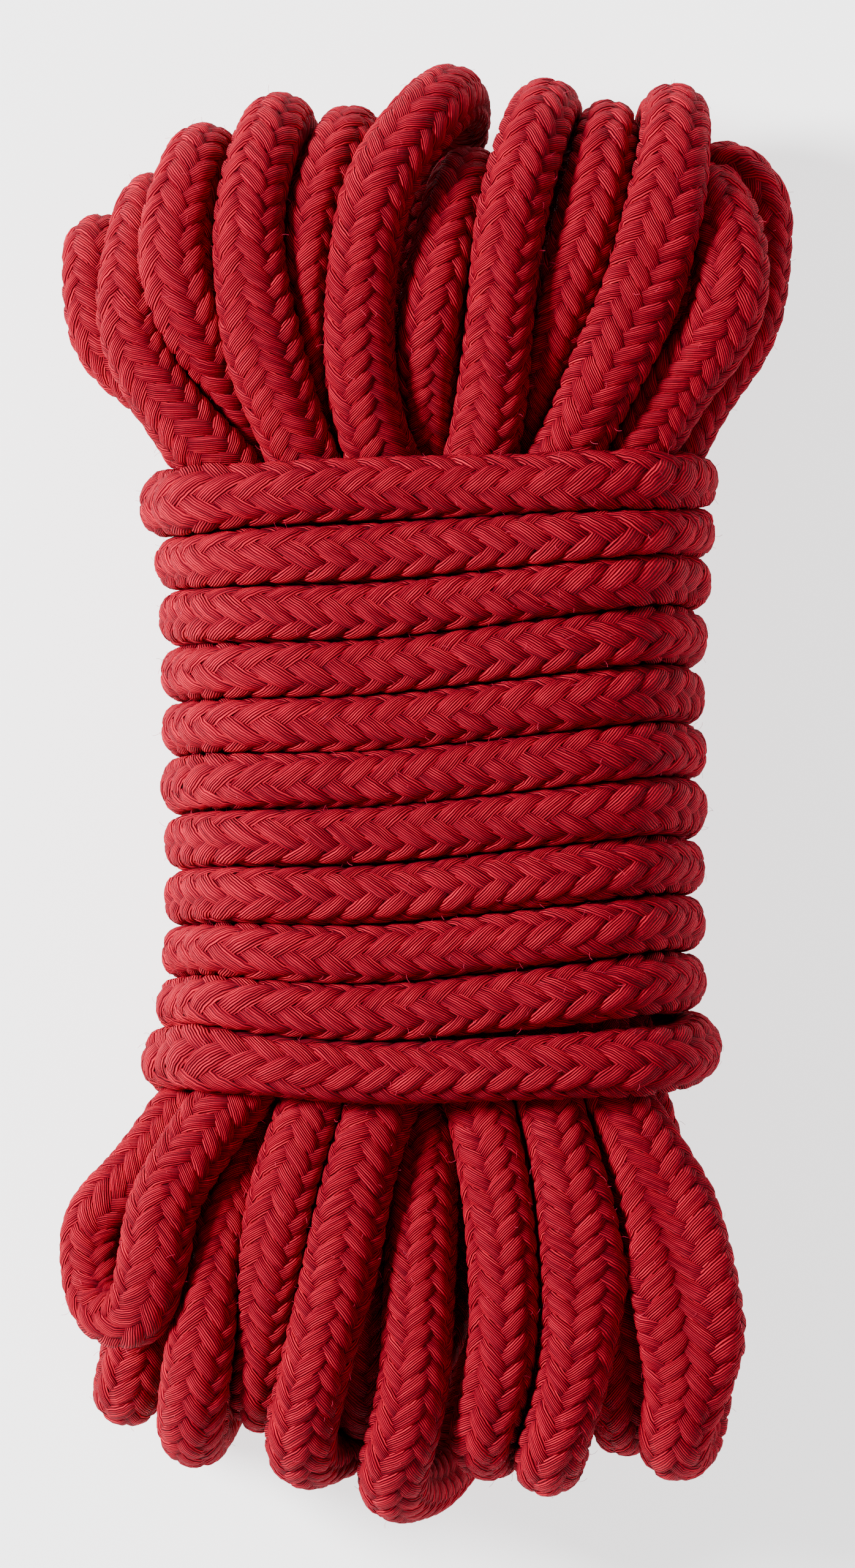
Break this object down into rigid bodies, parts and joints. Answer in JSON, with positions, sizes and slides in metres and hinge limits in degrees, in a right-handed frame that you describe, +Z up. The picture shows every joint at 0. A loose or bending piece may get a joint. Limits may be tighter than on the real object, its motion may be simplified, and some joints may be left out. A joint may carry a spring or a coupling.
{
  "type": "lead rope hank",
  "caption": "Soft braided cotton rope folded into long turns and wrapped round its waist into a neat hank, lying flat, with both ends whipped.",
  "frame": {"origin": "middle of the hank's box, on the surface that the hank lies on", "axes": "+Y along the hank towards the taller loops, +X across it, +Z up, away from the surface"},
  "size_m": [0.0788, 0.1586, 0.0399],
  "materials": {
    "rope": "matte",
    "thread": "matte"
  },
  "bodies": {
    "root": {"end_whipping": "thread", "low_bight_01": "rope", "low_bight_02": "rope", "low_bight_03": "rope", "low_bight_04": "rope", "low_bight_05": "rope", "low_bight_06": "rope", "low_bight_07": "rope", "low_bight_08": "rope", "low_bight_09": "rope", "low_bight_10": "rope", "low_bight_11": "rope", "rope_start": "rope", "rope_tail": "rope", "start_whipping": "thread", "top_bight_01": "rope", "top_bight_02": "rope", "top_bight_03": "rope", "top_bight_04": "rope", "top_bight_05": "rope", "top_bight_06": "rope", "top_bight_07": "rope", "top_bight_08": "rope", "top_bight_09": "rope", "top_bight_10": "rope", "top_bight_11": "rope", "top_bight_12": "rope", "wrap_01": "rope", "wrap_02": "rope", "wrap_03": "rope", "wrap_04": "rope", "wrap_05": "rope", "wrap_06": "rope", "wrap_07": "rope", "wrap_08": "rope", "wrap_09": "rope", "wrap_10": "rope", "wrap_11": "rope", "wrap_lead": "rope"}
  },
  "joints": []
}
